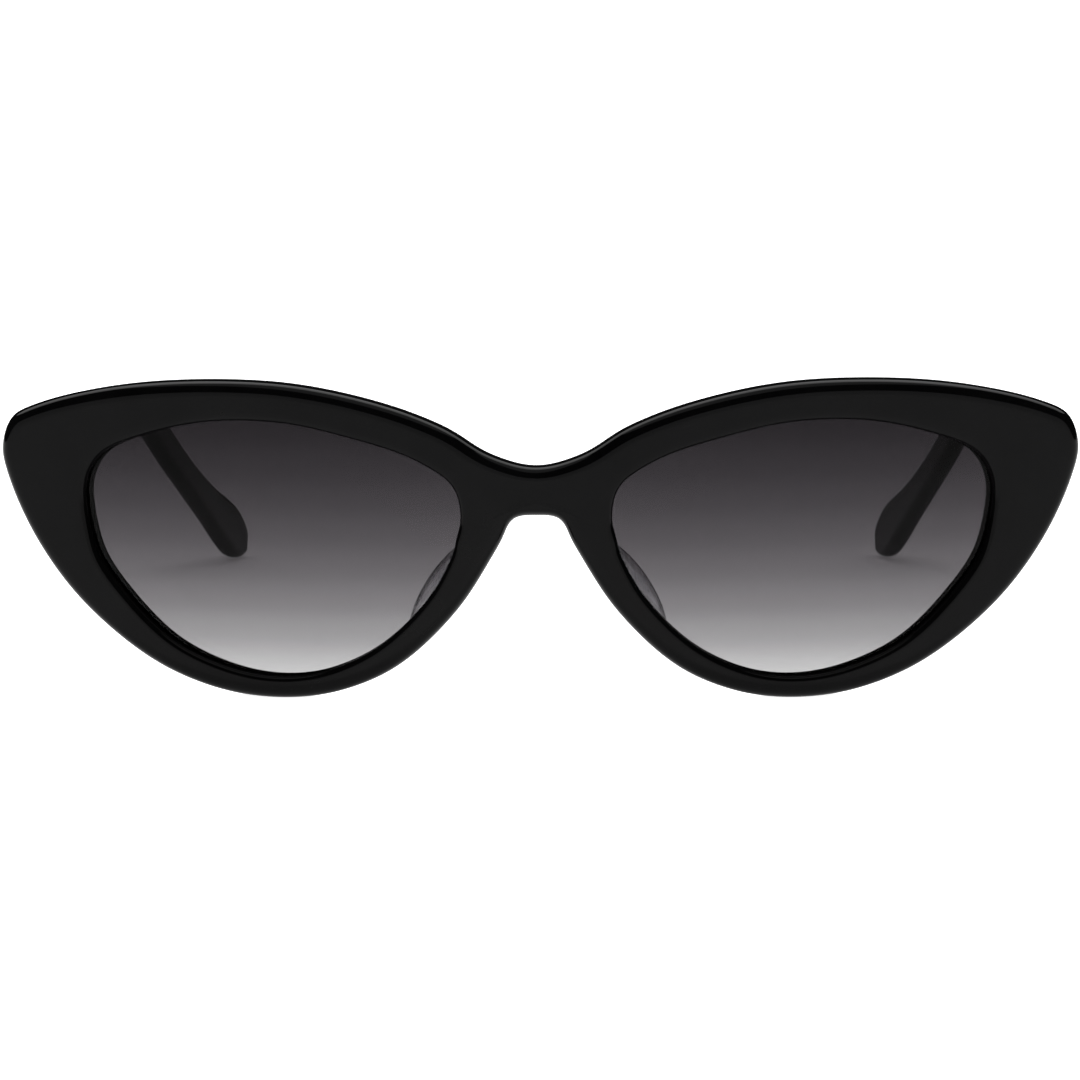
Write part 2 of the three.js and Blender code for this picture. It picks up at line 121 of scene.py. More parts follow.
def smooth_loop(points, steps):
    """A closed centripetal curve through the points, with so many samples for each."""
    loop = []
    count = len(points)
    for i in range(count):
        p0, p1, p2, p3 = (points[(i + k) % count] for k in (-1, 0, 1, 2))
        d0, d1, d2 = (math.sqrt((b - a).length) for a, b in ((p0, p1), (p1, p2), (p2, p3)))
        t1 = ((p1 - p0) / d0 - (p2 - p0) / (d0 + d1) + (p2 - p1) / d1) * d1
        t2 = ((p2 - p1) / d1 - (p3 - p1) / (d1 + d2) + (p3 - p2) / d2) * d1
        square = 3 * (p2 - p1) - 2 * t1 - t2
        cube = 2 * (p1 - p2) + t1 + t2
        for step in range(steps):
            t = step / steps
            loop.append(p1 + t1 * t + square * t * t + cube * t**3)
    return fair(loop)


def fair(loop):
    """Evens out the curvature of a closed loop without shrinking it."""
    for _ in range(FAIRING_PASSES):
        for pull in (0.5, -0.51):
            loop = [
                point + pull * ((loop[i - 1] + loop[(i + 1) % len(loop)]) / 2 - point)
                for i, point in enumerate(loop)
            ]
    return loop


def normals_of(loop):
    """Unit normals that point out of a clockwise loop."""
    out = []
    for i in range(len(loop)):
        along = (loop[(i + 1) % len(loop)] - loop[i - 1]).normalized()
        out.append(Vector((-along.y, along.x)))
    return out


class Shell:
    """Vertices and faces of one piece. A face's corners run anticlockwise seen from outside."""

    def __init__(self):
        self.points = []
        self.faces = []

    def ring(self, points):
        first = len(self.points)
        self.points.extend(points)
        return list(range(first, len(self.points)))

    def band(self, ring, following):
        for i in range(len(ring)):
            j = (i + 1) % len(ring)
            self.faces.append((ring[i], ring[j], following[j], following[i]))

    def cap(self, ring):
        self.faces.append(tuple(ring))

    def fan(self, ring, middle):
        centre = self.ring([middle])[0]
        for i, corner in enumerate(ring):
            self.faces.append((corner, ring[(i + 1) % len(ring)], centre))

    def add(self, other, matrix=None):
        first = len(self.points)
        self.points.extend(matrix @ point if matrix else point for point in other.points)
        self.faces.extend(tuple(first + i for i in face) for face in other.faces)


def loft(rings, tip=None):
    """A closed shell through rings that run anticlockwise about their line, ending at tip."""
    shell = Shell()
    indices = [shell.ring(ring) for ring in rings]
    for ring, following in zip(indices, indices[1:]):
        shell.band(ring, following)
    shell.cap(indices[0][::-1])
    if tip is None:
        shell.cap(indices[-1])
    else:
        shell.fan(indices[-1], tip)
    return shell


def revolve(profile, segments, closed):
    """Turns a profile of (radius, z) about Z. An open profile starts and ends on the axis."""
    shell = Shell()
    turns = [2 * math.pi * i / segments for i in range(segments)]
    rows = profile if closed else profile[1:-1]
    rings = [shell.ring([Vector((r * math.cos(a), r * math.sin(a), z)) for a in turns]) for r, z in rows]
    for ring, following in zip(rings, rings[1:] + rings[:1] if closed else rings[1:]):
        shell.band(ring, following)
    if not closed:
        shell.fan(rings[0][::-1], Vector((0, 0, profile[0][1])))
        shell.fan(rings[-1], Vector((0, 0, profile[-1][1])))
    return shell


def bevelled_prism(outline, z0, z1, bevel):
    """An upright prism on an anticlockwise outline, with its edges rounded."""
    mesh = bmesh.new()
    bottom = [mesh.verts.new((x, y, z0)) for x, y in outline]
    top = [mesh.verts.new((x, y, z1)) for x, y in outline]
    mesh.faces.new(bottom[::-1])
    mesh.faces.new(top)
    for i in range(len(outline)):
        j = (i + 1) % len(outline)
        mesh.faces.new((bottom[i], bottom[j], top[j], top[i]))
    bmesh.ops.bevel(mesh, geom=mesh.edges[:], offset=bevel, segments=3, profile=0.5, affect="EDGES")
    mesh.verts.index_update()
    shell = Shell()
    shell.points = [vertex.co.copy() for vertex in mesh.verts]
    shell.faces = [tuple(vertex.index for vertex in face.verts) for face in mesh.faces]
    mesh.free()
    return shell


def box_outline(x0, x1, y0, y1):
    return [(x0, y0), (x1, y0), (x1, y1), (x0, y1)]


SHARP_ANGLE = math.radians(35)


def build(name, shell, material, side=1, matrix=None):
    """Makes the object for a shell of the left side, or its mirror image on the right."""
    place = matrix or Matrix.Identity(4)
    if side < 0:
        place = Matrix.Scale(-1, 4, Vector((1, 0, 0))) @ place
    mesh = bpy.data.meshes.new(name)
    faces = [face[::-1] for face in shell.faces] if side < 0 else shell.faces
    mesh.from_pydata([place @ point for point in shell.points], [], faces)
    merged = bmesh.new()
    merged.from_mesh(mesh)
    bmesh.ops.remove_doubles(merged, verts=merged.verts[:], dist=1e-7)
    merged.to_mesh(mesh)
    merged.free()
    mesh.materials.append(material)
    piece = bpy.data.objects.new(name, mesh)
    bpy.context.scene.collection.objects.link(piece)
    finish_shading(piece)
    return piece


def finish_shading(piece):
    mesh = piece.data
    mesh.polygons.foreach_set("use_smooth", [True] * len(mesh.polygons))
    mesh.set_sharp_from_angle(angle=SHARP_ANGLE)
    mesh.update()


def cut(piece, shell, side, matrix, operation="DIFFERENCE"):
    """Cuts the piece by a shell, or keeps what lies inside the shell."""
    tool = build("cutter", shell, piece.data.materials[0], side, matrix)
    modifier = piece.modifiers.new("cut", "BOOLEAN")
    modifier.operation = operation
    modifier.solver = "EXACT"
    modifier.object = tool
    evaluated = piece.evaluated_get(bpy.context.evaluated_depsgraph_get())
    result = bpy.data.meshes.new_from_object(evaluated)
    piece.modifiers.clear()
    spare = piece.data
    piece.data = result
    bpy.data.meshes.remove(spare)
    bpy.data.objects.remove(tool)
    finish_shading(piece)


# ---- materials ----

ACETATE_IOR = 1.48
PAD_EDGE_BLEND = 0.25
LENS_COAT_IOR = 1.13
LENS_TINT_DRIFT = 0.2 * MM
FLOOR_GLOW = 1.0


def new_material(name):
    material = bpy.data.materials.new(name)
    material.use_nodes = True
    tree = material.node_tree
    tree.nodes.clear()
    return material, tree


def node(tree, kind, inputs=None, **settings):
    made = tree.nodes.new(kind)
    for key, value in settings.items():
        setattr(made, key, value)
    for key, value in (inputs or {}).items():
        if isinstance(value, bpy.types.NodeSocket):
            tree.links.new(value, made.inputs[key])
        else:
            made.inputs[key].default_value = value
    return made


def ramp(tree, factor, stops, interpolation="LINEAR"):
    made = node(tree, "ShaderNodeValToRGB", {"Fac": factor})
    made.color_ramp.interpolation = interpolation
    elements = made.color_ramp.elements
    while len(elements) < len(stops):
        elements.new(0.5)
    for element, (position, colour) in zip(elements, stops):
        element.position = position
        element.color = (*colour, 1)
    return made.outputs["Color"]


def noise(tree, place, scale, detail=3.0, roughness=0.5):
    inputs = {"Vector": place, "Scale": scale, "Detail": detail, "Roughness": roughness}
    return node(tree, "ShaderNodeTexNoise", inputs).outputs["Fac"]


def stretched(tree, place, scale):
    return node(tree, "ShaderNodeMapping", {"Vector": place, "Scale": scale}).outputs["Vector"]


def between(tree, value, low, high, start=0.0, end=1.0):
    inputs = {"Value": value, "From Min": start, "From Max": end, "To Min": low, "To Max": high}
    return node(tree, "ShaderNodeMapRange", inputs).outputs["Result"]


def bump(tree, height, strength, distance):
    inputs = {"Height": height, "Strength": strength, "Distance": distance}
    return node(tree, "ShaderNodeBump", inputs).outputs["Normal"]


def output(tree, shader):
    node(tree, "ShaderNodeOutputMaterial", {"Surface": shader})


def object_place(tree):
    return node(tree, "ShaderNodeTexCoord").outputs["Object"]


def acetate_material(name, dark, light, specular):
    """Tumbled and polished acetate: faint clouding, a gloss that drifts, and hairline marks."""
    material, tree = new_material(name)
    place = object_place(tree)
    clouding = noise(tree, place, 120.0, 4.0, 0.6)
    colour = ramp(tree, clouding, [(0.3, dark), (0.7, light)])
    polish = noise(tree, place, 260.0, 5.0, 0.55)
    hairlines = noise(tree, stretched(tree, place, (900.0, 900.0, 9000.0)), 1.0, 2.0, 0.7)
    waviness = noise(tree, place, 55.0, 1.0, 0.4)
    wavy = bump(tree, waviness, 0.06, 0.0006)
    scratched = node(
        tree,
        "ShaderNodeBump",
        {"Height": hairlines, "Strength": 0.012, "Distance": 0.00002, "Normal": wavy},
    ).outputs["Normal"]
    shader = node(
        tree,
        "ShaderNodeBsdfPrincipled",
        {
            "Base Color": colour,
            "Roughness": between(tree, polish, 0.03, 0.09, 0.3, 0.7),
            "Specular IOR Level": specular,
            "IOR": ACETATE_IOR,
            "Normal": scratched,
        },
    )
    output(tree, shader.outputs["BSDF"])
    return material


def metal_material(name, low, high, grain, roughness):
    """Plated metal with the fine grain of its drawing or turning."""
    material, tree = new_material(name)
    place = object_place(tree)
    grained = noise(tree, stretched(tree, place, grain), 1.0, 4.0, 0.65)
    tone = noise(tree, place, 700.0, 3.0, 0.5)
    shader = node(
        tree,
        "ShaderNodeBsdfPrincipled",
        {
            "Base Color": ramp(tree, tone, [(0.3, low), (0.7, high)]),
            "Metallic": 1.0,
            "Roughness": between(tree, grained, roughness[0], roughness[1], 0.3, 0.7),
            "Normal": bump(tree, grained, 0.15, 0.00004),
        },
    )
    output(tree, shader.outputs["BSDF"])
    return material


# What one face of the lens lets through at its bottom and top edges, and how much less green
# than red and blue passes at the top. Light crosses two faces.
LENS_BOTTOM = 0.56
LENS_TOP = 0.09
LENS_CAST = 0.07
LENS_STOPS = 8


def lens_tint(share):
    """The tint at a share of the lens's height: its density grows evenly upwards."""
    through = LENS_BOTTOM * (LENS_TOP / LENS_BOTTOM) ** share
    return (through, through * (1 - LENS_CAST * share), through)


def lens_material():
    """Clear optical plastic with a tint that fades downwards and a thin hard coat."""
    material, tree = new_material("gradient_lens")
    place = object_place(tree)
    low, high = (corner.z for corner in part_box("left_lens"))
    height = node(tree, "ShaderNodeSeparateXYZ", {"Vector": place}).outputs["Z"]
    drift = between(tree, noise(tree, place, 40.0, 1.0), -LENS_TINT_DRIFT, LENS_TINT_DRIFT)
    uneven = node(tree, "ShaderNodeMath", {0: height, 1: drift}, operation="ADD").outputs[0]
    share = between(tree, uneven, 0.0, 1.0, low, high)
    stops = [i / LENS_STOPS for i in range(LENS_STOPS + 1)]
    tint = ramp(tree, share, [(stop, lens_tint(stop)) for stop in stops], "CARDINAL")
    smears = noise(tree, place, 90.0, 4.0, 0.6)
    clear = node(tree, "ShaderNodeBsdfTransparent", {"Color": tint})
    gloss = node(
        tree,
        "ShaderNodeBsdfGlossy",
        {"Color": (1, 1, 1, 1), "Roughness": between(tree, smears, 0.01, 0.03, 0.4, 0.7)},
    )
    coat = node(tree, "ShaderNodeFresnel", {"IOR": LENS_COAT_IOR})
    mixed = node(
        tree,
        "ShaderNodeMixShader",
        {0: coat.outputs["Fac"], 1: clear.outputs["BSDF"], 2: gloss.outputs["BSDF"]},
    )
    output(tree, mixed.outputs["Shader"])
    return material


def pad_material():
    """Clear, slightly smoky acetate: see-through head on, and dark where it is seen edge on."""
    material, tree = new_material("clear_acetate")
    place = object_place(tree)
    cloud = noise(tree, place, 220.0, 3.0)
    polish = noise(tree, place, 400.0, 4.0)
    clear = node(
        tree,
        "ShaderNodeBsdfTransparent",
        {"Color": ramp(tree, cloud, [(0.3, (0.78, 0.78, 0.79)), (0.7, (0.86, 0.86, 0.87))])},
    )
    dark = node(
        tree,
        "ShaderNodeBsdfPrincipled",
        {
            "Base Color": ramp(tree, cloud, [(0.3, (0.05, 0.05, 0.055)), (0.7, (0.075, 0.075, 0.08))]),
            "Roughness": between(tree, polish, 0.08, 0.2, 0.3, 0.7),
            "IOR": ACETATE_IOR,
            "Normal": bump(tree, polish, 0.1, 0.00005),
        },
    )
    edge = node(tree, "ShaderNodeLayerWeight", {"Blend": PAD_EDGE_BLEND})
    mixed = node(
        tree,
        "ShaderNodeMixShader",
        {0: edge.outputs["Facing"], 1: clear.outputs["BSDF"], 2: dark.outputs["BSDF"]},
    )
    output(tree, mixed.outputs["Shader"])
    return material


def floor_material():
    """A pale acrylic table top that glows a little, as lit ones do."""
    material, tree = new_material("table_top")
    place = object_place(tree)
    cloud = noise(tree, place, 6.0, 3.0)
    shader = node(
        tree,
        "ShaderNodeBsdfPrincipled",
        {
            "Base Color": ramp(tree, cloud, [(0.3, (0.86, 0.86, 0.86)), (0.7, (0.88, 0.88, 0.88))]),
            "Roughness": between(tree, cloud, 0.55, 0.65),
            "Specular IOR Level": 0.2,
            "Emission Color": (1, 1, 1, 1),
            "Emission Strength": FLOOR_GLOW,
        },
    )
    output(tree, shader.outputs["BSDF"])
    return material


ACETATE = acetate_material("black_acetate", (0.0008, 0.0008, 0.0009), (0.0018, 0.0018, 0.0019), 0.07)
CLEAR_PAD = pad_material()
LENS = lens_material()
HINGE_METAL = metal_material(
    "hinge_plating", (0.42, 0.42, 0.43), (0.52, 0.52, 0.53), (600.0, 600.0, 9000.0), (0.2, 0.34)
)
SCREW_METAL = metal_material(
    "turned_screw", (0.55, 0.55, 0.56), (0.66, 0.66, 0.67), (900.0, 900.0, 6000.0), (0.14, 0.26)
)
WIRE_METAL = metal_material(
    "drawn_wire", (0.48, 0.45, 0.38), (0.6, 0.57, 0.5), (4000.0, 400.0, 4000.0), (0.25, 0.4)
)

# ---- front ----


def table_points(columns, rows):
    return [Vector([row[c] * MM for c in columns]) for row in rows]


opening_loop = smooth_loop(table_points((2, 3), HALF_FRONT), STEPS_PER_ROW)
opening_normals = normals_of(opening_loop)


def outer_half():
    """Places and normals round the outer edge of the left half, then down inside the bridge."""
    edge = table_points((0, 1), HALF_FRONT[:-BRIDGE_ROWS])
    other = [Vector((-point.x, point.y)) for point in edge[-2:0:-1]]
    loop = smooth_loop(edge + other, STEPS_PER_ROW)
    normals = normals_of(loop)
    count = (len(edge) - 1) * STEPS_PER_ROW
    places = list(zip(loop[:count], normals[:count]))
    top, bottom = Vector((0, loop[0].y)), Vector((0, loop[count].y))
    clear = Vector((0, OUTER_ROUND))
    stops = [bottom + clear, *table_points((0, 1), HALF_FRONT[-BRIDGE_ROWS:]), top - clear]
    for start, end in zip(stops, stops[1:]):
        for step in range(STEPS_PER_ROW):
            places.append((start.lerp(end, step / STEPS_PER_ROW), Vector((0, 0))))
    places[0] = (top, Vector((0, 1)))
    places[count] = (bottom, Vector((0, -1)))
    return places


def rounding(front_round, back_round):
    """Inset and depth from the face to the back, round both corners of the sheet's edge."""
    profile = []
    for i in range(ROUND_STEPS + 1):
        angle = math.pi / 2 * i / ROUND_STEPS
        profile.append((front_round * (1 - math.sin(angle)), front_round * (1 - math.cos(angle))))
    for i in range(ROUND_STEPS + 1):
        angle = math.pi / 2 * i / ROUND_STEPS
        profile.append((back_round * (1 - math.cos(angle)), SHEET - back_round * (1 - math.sin(angle))))
    return profile


OUTER_EDGE = rounding(OUTER_ROUND, OUTER_BACK_ROUND)
OPENING_EDGE = rounding(OPENING_ROUND, OPENING_BACK_ROUND)
OPENING_EDGE[ROUND_STEPS + 1 : ROUND_STEPS + 1] = [
    (0, GROOVE_FRONT),
    (GROOVE_DEPTH, GROOVE_FRONT),
    (GROOVE_DEPTH, GROOVE_BACK),
    (0, GROOVE_BACK),
]


def front_shell():
    sections = []
    outer = outer_half()
    for i, (place, normal) in enumerate(outer):
        outside = [(*(place - normal * inset), w) for inset, w in OUTER_EDGE]
        inner_place, inner_normal = opening_loop[i], opening_normals[i]
        inside = [(*(inner_place + inner_normal * inset), w) for inset, w in reversed(OPENING_EDGE)]
        strips = [(j + 1) / FACE_STRIPS for j in range(FACE_STRIPS - 1)]
        back = [Vector(outside[-1]).lerp(Vector(inside[0]), t) for t in strips]
        face = [Vector(inside[-1]).lerp(Vector(outside[0]), t) for t in strips]
        sections.append([bend(*point) for point in (*outside, *back, *inside, *face)])
    shell = Shell()
    rings = [shell.ring(section) for section in sections]
    mirror_rings = [shell.ring([Vector((-p.x, p.y, p.z)) for p in section]) for section in sections]
    wall_steps = len(OUTER_EDGE) - 1
    for i in range(len(rings)):
        k = (i + 1) % len(rings)
        inside_bridge = outer[i][0].x == 0 and outer[k][0].x == 0
        for j in range(wall_steps if inside_bridge else 0, len(rings[i])):
            m = (j + 1) % len(rings[i])
            shell.faces.append((rings[i][j], rings[k][j], rings[k][m], rings[i][m]))
            shell.faces.append(
                (mirror_rings[i][m], mirror_rings[k][m], mirror_rings[k][j], mirror_rings[i][j])
            )
    used = sorted({corner for face in shell.faces for corner in face})
    renumbered = {corner: i for i, corner in enumerate(used)}
    shell.points = [shell.points[corner] for corner in used]
    shell.faces = [tuple(renumbered[corner] for corner in face) for face in shell.faces]
    return shell


LENS_GAP = 0.1 * MM
LENS_EDGE_GAP = 0.15 * MM
LENS_BULGE = 0.9 * MM
LENS_CENTRE = Vector((36 * MM, -1 * MM))
LENS_RINGS = 14
LENS_EDGE_BEVEL = 0.12 * MM
LENS_MEAN_RADIUS = 20 * MM


def lens_shell():
    reach = GROOVE_DEPTH - LENS_EDGE_GAP
    edge = [place + normal * reach for place, normal in zip(opening_loop, opening_normals)][::-1]
    front_w = GROOVE_FRONT + LENS_GAP
    back_w = GROOVE_BACK - LENS_GAP

    def ring_at(share, w):
        depth = w - LENS_BULGE * (1 - share * share)
        return [bend(*LENS_CENTRE.lerp(point, share), depth) for point in edge]

    bevel_share = 1 - LENS_EDGE_BEVEL / LENS_MEAN_RADIUS
    shares = [bevel_share * (i + 1) / LENS_RINGS for i in range(LENS_RINGS)]
    shell = Shell()
    rings = [shell.ring(ring_at(share, front_w)) for share in shares]
    rings.append(shell.ring(ring_at(1, front_w + LENS_EDGE_BEVEL)))
    rings.append(shell.ring(ring_at(1, back_w - LENS_EDGE_BEVEL)))
    rings.extend(shell.ring(ring_at(share, back_w)) for share in reversed(shares))
    for ring, following in zip(rings, rings[1:]):
        shell.band(following, ring)
    shell.fan(rings[0], ring_at(0, front_w)[0])
    shell.fan(rings[-1][::-1], ring_at(0, back_w)[0])
    return shell


front = build("front", front_shell(), ACETATE)
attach(front, "front")
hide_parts("front_frame")

# ---- nose pads ----

PAD_CENTRE = (12.4 * MM, -6.7 * MM)
PAD_LEAN = math.radians(36)
PAD_HALF_LENGTH = 9 * MM
PAD_HEIGHT = 4.4 * MM
PAD_INNER = -1.4 * MM
PAD_FLARE = math.radians(26)
PAD_BOND = 0.05 * MM
PAD_SECTIONS = 56
PAD_CORNER_STEPS = 6
# Corners of the section: outwards from the inner face, and up as a share of the pad's height.
PAD_SECTION = [
    (0, 0),
    (3.2 * MM, 0),
    (3.1 * MM, 0.4),
    (2.2 * MM, 1),
    (0, 1),
]


def pad_outline():
    """The section with its corners drawn as smooth curves, apart from those on the rim."""
    points = [Vector(corner) for corner in PAD_SECTION]
    foot, outer, shoulder, crest, top = points
    curve = [outer, shoulder, crest, top.lerp(crest, 0.35)]
    lip = [top.lerp(crest, 0.35), top, top.lerp(foot, 0.12)]
    steps = PAD_CORNER_STEPS
    outline = [foot.lerp(outer, i / steps) for i in range(steps)]
    outline += [bezier(curve, i / (3 * steps)) for i in range(3 * steps)]
    outline += [bezier(lip, i / steps) for i in range(steps)]
    outline += [lip[-1].lerp(foot, i / steps) for i in range(steps)]
    return outline


def bezier(points, t):
    while len(points) > 1:
        points = [a.lerp(b, t) for a, b in zip(points, points[1:])]
    return points[0]


def pad_shell():
    outline = pad_outline()
    rings = []
    for i in range(1, PAD_SECTIONS):
        along = -math.cos(math.pi * i / PAD_SECTIONS)
        full = math.sqrt(1 - along * along)
        ring = []
        for across, share in outline:
            y = PAD_HEIGHT * full * share
            x = PAD_INNER + y * math.tan(PAD_FLARE) + across * full
            ring.append(Vector((x, y, along * PAD_HALF_LENGTH)))
        rings.append(ring)
    shell = Shell()
    indices = [shell.ring(ring) for ring in rings]
    for ring, following in zip(indices, indices[1:]):
        shell.band(ring, following)
    shell.fan(indices[0][::-1], Vector((PAD_INNER, 0, -PAD_HALF_LENGTH)))
    shell.fan(indices[-1], Vector((PAD_INNER, 0, PAD_HALF_LENGTH)))
    return shell


u, v = PAD_CENTRE
pad_place = (
    Matrix.Translation(bend(u, v, SHEET + PAD_BOND))
    @ Matrix.Rotation(u / BEND_RADIUS, 4, "Z")
    @ Matrix.Rotation(-PAD_LEAN, 4, "Y")
)

# ---- temples ----

TEMPLE_THICKNESS = 4 * MM
EAR_THICKNESS = 2.9 * MM
TEMPLE_INNER_FACE = 1.8 * MM
MITRE_HALF_GAP = 0.08 * MM
BUTT_ROUND = 0.15 * MM
BUTT_CHAMFER = 0.04 * MM
LEAST_HALF_SIZE = 0.02 * MM
TEMPLE_EDGE_ROUND = 1.3 * MM
# Distance back from the pivot along the temple, and half the height there.
TEMPLE_ROWS = [
    (0, 5),
    (12, 5),
    (45, 3.5),
    (75, 3),
    (85, 3),
    (95, 3),
    (105, 3),
    (115, 3.5),
    (123, 4.5),
    (128, 4.5),
    (132, 4.5),
]
TEMPLE_SWEEP_START = 40 * MM
TEMPLE_SWEEP_RADIUS = 310 * MM
TEMPLE_LENGTH = 130.5 * MM
TEMPLE_TAPER_START = 12 * MM
TIP_LENGTH = 6 * MM
TIP_PLAN_LENGTH = 1.4 * MM
TEMPLE_BEND_START = 70 * MM
TEMPLE_BEND_RADIUS = 32 * MM
TEMPLE_BEND = math.radians(32.1)
TEMPLE_RINGS = 150
TIP_RINGS = 26
CORNER_STEPS = 7
FLAT_STEPS = 5


def hinge_place():
    return Matrix.Translation(pivot) @ Matrix.Rotation(-temple_slope, 4, "X")


def row_at(distance):
    """Half height and outward shift at a distance along the temple, on smooth curves."""
    points = [Vector([value * MM for value in row]) for row in TEMPLE_ROWS]
    i = 0
    while i < len(points) - 2 and points[i + 1].x < distance:
        i += 1
    before = points[max(i - 1, 0)]
    start, end = points[i], points[i + 1]
    after = points[min(i + 2, len(points) - 1)]
    span = end.x - start.x
    t = (distance - start.x) / span
    rise_in = (end - before) / max(end.x - before.x, MM) * span
    rise_out = (after - start) / max(after.x - start.x, MM) * span
    value = (
        (2 * t**3 - 3 * t**2 + 1) * start
        + (t**3 - 2 * t**2 + t) * rise_in
        + (3 * t**2 - 2 * t**3) * end
        + (t**3 - t**2) * rise_out
    )
    along = max(distance - TEMPLE_SWEEP_START, 0)
    sweep = TEMPLE_SWEEP_RADIUS - math.sqrt(TEMPLE_SWEEP_RADIUS**2 - along**2)
    return value.y, -sweep


def along_temple(distance, outwards, up):
    turned = min(max((distance - TEMPLE_BEND_START) / TEMPLE_BEND_RADIUS, 0), TEMPLE_BEND)
    straight = min(distance, TEMPLE_BEND_START)
    beyond = max(distance - TEMPLE_BEND_START - TEMPLE_BEND_RADIUS * TEMPLE_BEND, 0)
    y = straight + TEMPLE_BEND_RADIUS * math.sin(turned) + beyond * math.cos(turned)
    z = -TEMPLE_BEND_RADIUS * (1 - math.cos(turned)) - beyond * math.sin(turned)
    return Vector((outwards, y + up * math.sin(turned), z + up * math.cos(turned)))


def rounded_rectangle(half_width, half_height, radius):
    radius = min(radius, half_width * 0.98, half_height * 0.98)
    corners = []
    for sx, sy, quarter in ((1, 1, 0), (-1, 1, 1), (-1, -1, 2), (1, -1, 3)):
        for step in range(CORNER_STEPS + 1):
            angle = (quarter + step / CORNER_STEPS) * math.pi / 2
            x = sx * (half_width - radius) + radius * math.cos(angle)
            y = sy * (half_height - radius) + radius * math.sin(angle)
            corners.append(Vector((x, y)))
    ring = []
    for i, corner in enumerate(corners):
        ring.append(corner)
        if i % (CORNER_STEPS + 1) == CORNER_STEPS:
            following = corners[(i + 1) % len(corners)]
            ring.extend(corner.lerp(following, (j + 1) / FLAT_STEPS) for j in range(FLAT_STEPS - 1))
    return ring


def temple_ring(distance, height_scale, plan_scale, inset=0.0):
    half_height, moved = row_at(distance)
    thinned = (distance - TEMPLE_TAPER_START) / (TEMPLE_BEND_START - TEMPLE_TAPER_START)
    share = min(max(thinned, 0), 1)
    eased = share * share * (3 - 2 * share)
    thickness = TEMPLE_THICKNESS + (EAR_THICKNESS - TEMPLE_THICKNESS) * eased
    middle = TEMPLE_INNER_FACE + TEMPLE_THICKNESS / 2 + moved
    outline = rounded_rectangle(
        max(thickness / 2 * plan_scale - inset, LEAST_HALF_SIZE),
        max(half_height * height_scale - inset, LEAST_HALF_SIZE),
        TEMPLE_EDGE_ROUND * plan_scale,
    )
    return [along_temple(distance, middle + x, up) for x, up in outline][::-1]


def temple_shell():
    start = MITRE_HALF_GAP
    rings = [
        temple_ring(start, 1, 1, BUTT_ROUND),
        temple_ring(start + BUTT_CHAMFER, 1, 1, BUTT_CHAMFER),
    ]
    first = start + BUTT_ROUND
    paddle_end = TEMPLE_LENGTH - TIP_LENGTH
    for i in range(TEMPLE_RINGS):
        rings.append(temple_ring(first + (paddle_end - first) * i / TEMPLE_RINGS, 1, 1))
    for i in range(TIP_RINGS):
        angle = math.pi / 2 * i / TIP_RINGS
        distance = paddle_end + TIP_LENGTH * math.sin(angle)
        left = (TEMPLE_LENGTH - distance) / TIP_PLAN_LENGTH
        plan_scale = math.sqrt(max(1 - (1 - left) ** 2, 0)) if left < 1 else 1
        rings.append(temple_ring(distance, math.cos(angle), max(plan_scale, 0.03)))
    _, moved = row_at(TEMPLE_LENGTH)
    middle = TEMPLE_INNER_FACE + TEMPLE_THICKNESS / 2 + moved
    return loft(rings, along_temple(TEMPLE_LENGTH, middle, 0))


# ---- hinges, in the frame of their pivot ----

BARREL_RADIUS = 1.4 * MM
PIN_HOLE_RADIUS = 0.7 * MM
KNUCKLES = 5
KNUCKLE_PITCH = 1.6 * MM
KNUCKLE_GAP = 0.08 * MM
KNUCKLE_BEVEL = 0.12 * MM
LEAF_HALF_HEIGHT = 4 * MM
LEAF_THICKNESS = 0.9 * MM
LEAF_BEVEL = 0.12 * MM
LEAF_CLEARANCE = 0.05 * MM
TEMPLE_LEAF_PROUD = 0.15 * MM
TEMPLE_LEAF_START = 0.5 * MM
TEMPLE_LEAF_END = 8.5 * MM
FRONT_LEAF_INNER = -1.25 * MM
FRONT_LEAF_OUTER = 1.1 * MM
FRONT_LEAF_BACK = -2.7 * MM
FRONT_WEB_HALF_WIDTH = 1 * MM
BARREL_SEGMENTS = 48
COUNTERBORE_RADIUS = 1.08 * MM
COUNTERBORE_DEPTH = 0.45 * MM
WEB_HOLE_CLEARANCE = 0.1 * MM
WEB_INNER = 0.1 * MM
WEB_NEAR = 0.95 * MM
WEB_FAR = 3.4 * MM
WEB_STEP = 0.05 * MM

knuckle_top = (KNUCKLES * KNUCKLE_PITCH - KNUCKLE_GAP) / 2
temple_leaf_inner = TEMPLE_INNER_FACE - TEMPLE_LEAF_PROUD


def barrel(z0, z1, countersunk):
    b = KNUCKLE_BEVEL
    outside = [(BARREL_RADIUS - b, z0), (BARREL_RADIUS - b * 0.3, z0 + b * 0.3), (BARREL_RADIUS, z0 + b)]
    outside += [(BARREL_RADIUS, z1 - b), (BARREL_RADIUS - b * 0.3, z1 - b * 0.3), (BARREL_RADIUS - b, z1)]
    if countersunk:
        floor_z = z1 - COUNTERBORE_DEPTH
        bore = [(COUNTERBORE_RADIUS, z1), (COUNTERBORE_RADIUS, floor_z), (PIN_HOLE_RADIUS, floor_z)]
    else:
        bore = [(PIN_HOLE_RADIUS + b / 2, z1), (PIN_HOLE_RADIUS, z1 - b / 2)]
    bore += [(PIN_HOLE_RADIUS, z0 + b / 2), (PIN_HOLE_RADIUS + b / 2, z0)]
    return revolve(outside + bore, BARREL_SEGMENTS, closed=True)


